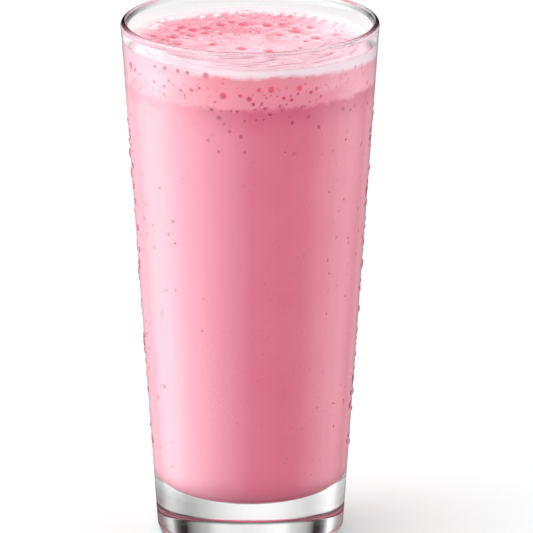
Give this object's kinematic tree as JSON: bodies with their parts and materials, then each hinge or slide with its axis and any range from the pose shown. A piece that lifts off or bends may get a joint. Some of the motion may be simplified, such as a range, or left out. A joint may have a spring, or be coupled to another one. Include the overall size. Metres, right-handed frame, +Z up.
{
  "type": "glass of rose milk",
  "caption": "Rose milk with a bubbly froth head in a tall tapered clear tumbler that has a thick rounded foot.",
  "frame": {"origin": "centre of the glass's foot, on the surface it stands on", "axes": "+Z up along the glass's own axis; the viewer of the picture stands at -Y, with +X to their right"},
  "size_m": [0.081, 0.081, 0.166],
  "materials": {
    "clear_glass": "clear and polished, with fine droplets of condensation outside",
    "rose_milk": "opaque pink liquid, smooth against the glass",
    "pale_froth": "soft pale pink foam with burst bubbles"
  },
  "bodies": {
    "root": {"glass": "clear_glass", "milk": "rose_milk", "froth": "pale_froth"}
  },
  "joints": []
}
